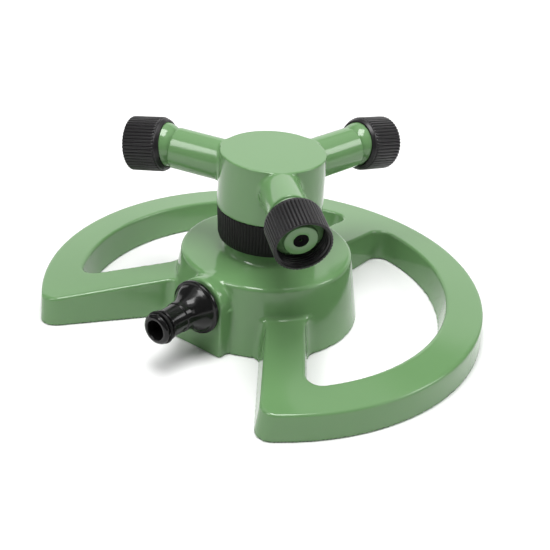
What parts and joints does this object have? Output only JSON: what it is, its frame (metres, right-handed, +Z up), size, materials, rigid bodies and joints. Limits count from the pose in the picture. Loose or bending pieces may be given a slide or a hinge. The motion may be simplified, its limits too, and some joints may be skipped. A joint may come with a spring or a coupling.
{
  "type": "garden sprinkler",
  "caption": "Rotary lawn sprinkler: spinning head with radial arms and swivelling ribbed nozzles, on an open ring base with a click-type hose inlet.",
  "frame": {"origin": "on the rotor's vertical axis at ground level, at the centre of the hub's underside", "axes": "+Z up along the rotor's axis; -Y out of the hose inlet; +X to the right when looking along +Y, from the inlet towards the hub"},
  "size_m": [0.2416, 0.2148, 0.0993],
  "materials": {
    "green_plastic": "sage green moulded plastic, glossy",
    "black_gloss": "black moulded plastic, glossy",
    "black_grip": "black moulded plastic, satin, ribbed grip",
    "rubber": "black seal rubber",
    "acetal": "natural white low-friction plastic"
  },
  "bodies": {
    "base": {"base": "green_plastic", "riser_plug": "green_plastic", "hose_connector": "black_gloss", "connector_o_ring": "rubber", "inlet_washer": "rubber", "spindle": "acetal"},
    "rotor": {"rotor_head": "green_plastic", "bearing_collar": "black_grip", "lower_thrust_washer": "acetal", "upper_thrust_washer": "acetal", "rotor_seal": "rubber", "nozzle_ball_1": "green_plastic", "nozzle_ball_2": "green_plastic", "nozzle_ball_3": "green_plastic"},
    "seat_1": {"ball_seal_1": "rubber"},
    "nozzle_1": {"nozzle_insert_1": "green_plastic"},
    "sleeve_1": {"nozzle_sleeve_1": "black_grip"},
    "seat_2": {"ball_seal_2": "rubber"},
    "nozzle_2": {"nozzle_insert_2": "green_plastic"},
    "sleeve_2": {"nozzle_sleeve_2": "black_grip"},
    "seat_3": {"ball_seal_3": "rubber"},
    "nozzle_3": {"nozzle_insert_3": "green_plastic"},
    "sleeve_3": {"nozzle_sleeve_3": "black_grip"}
  },
  "joints": [
    {"name": "rotor_spin", "type": "hinge", "parent": "base", "child": "rotor", "pos_m": [0, 0, 0], "axis": [0, 0, 1], "continuous": true},
    {"name": "nozzle_1_swivel", "type": "hinge", "parent": "rotor", "child": "seat_1", "pos_m": [0.04589, -0.04279, 0.08464], "axis": [0, 0, 1], "range_deg": [-19.5, 4.5]},
    {"name": "nozzle_1_tilt", "type": "hinge", "parent": "seat_1", "child": "nozzle_1", "pos_m": [0.04589, -0.04279, 0.08464], "axis": [-0.5807, -0.8141, 0], "range_deg": [-0.5, 31.5]},
    {"name": "sleeve_1_turn", "type": "hinge", "parent": "nozzle_1", "child": "sleeve_1", "pos_m": [0.04589, -0.04279, 0.08464], "axis": [0.7932, -0.5658, -0.225], "range_deg": [0, 360]},
    {"name": "nozzle_2_swivel", "type": "hinge", "parent": "rotor", "child": "seat_2", "pos_m": [0.01411, 0.06113, 0.08464], "axis": [0, 0, 1], "range_deg": [-12, 12]},
    {"name": "nozzle_2_tilt", "type": "hinge", "parent": "seat_2", "child": "nozzle_2", "pos_m": [0.01411, 0.06113, 0.08464], "axis": [0.9744, -0.225, 0], "range_deg": [-4, 28]},
    {"name": "sleeve_2_turn", "type": "hinge", "parent": "nozzle_2", "child": "sleeve_2", "pos_m": [0.01411, 0.06113, 0.08464], "axis": [0.2219, 0.961, -0.165], "range_deg": [0, 360]},
    {"name": "nozzle_3_swivel", "type": "hinge", "parent": "rotor", "child": "seat_3", "pos_m": [-0.06, -0.01834, 0.08464], "axis": [0, 0, 1], "range_deg": [-12, 12]},
    {"name": "nozzle_3_tilt", "type": "hinge", "parent": "seat_3", "child": "nozzle_3", "pos_m": [-0.06, -0.01834, 0.08464], "axis": [-0.2924, 0.9563, 0], "range_deg": [-4, 28]},
    {"name": "sleeve_3_turn", "type": "hinge", "parent": "nozzle_3", "child": "sleeve_3", "pos_m": [-0.06, -0.01834, 0.08464], "axis": [-0.9432, -0.2884, -0.165], "range_deg": [0, 360]}
  ]
}
